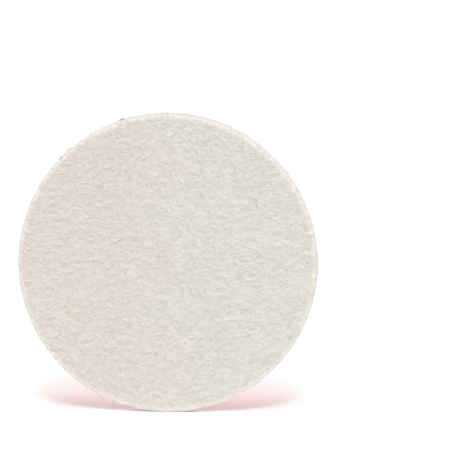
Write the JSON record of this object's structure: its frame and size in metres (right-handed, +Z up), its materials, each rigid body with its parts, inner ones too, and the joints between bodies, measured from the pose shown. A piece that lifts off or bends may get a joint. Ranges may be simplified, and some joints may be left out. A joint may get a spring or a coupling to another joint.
{
  "type": "felt polishing wheel",
  "caption": "Flat round felt polishing wheel with a hook-and-loop back that grips a polisher's hook pad.",
  "frame": {"origin": "centre of the loop face, where the hook pad takes hold", "axes": "+Y is the spin axis and points out of the loop back, so the felt face looks along -Y; +Z is up, as the wheel stands on its rim"},
  "size_m": [0.125, 0.0086, 0.125],
  "materials": {
    "felt": "pressed wool felt, off-white, lightly napped",
    "bond": "hot-melt adhesive film, pale amber",
    "cloth": "warp-knitted nylon ground, red",
    "pile": "brushed nylon loops, bright red"
  },
  "bodies": {
    "root": {"felt_disc": "felt", "bond_film": "bond", "backing_cloth": "cloth", "loop_pile": "pile"}
  },
  "joints": []
}
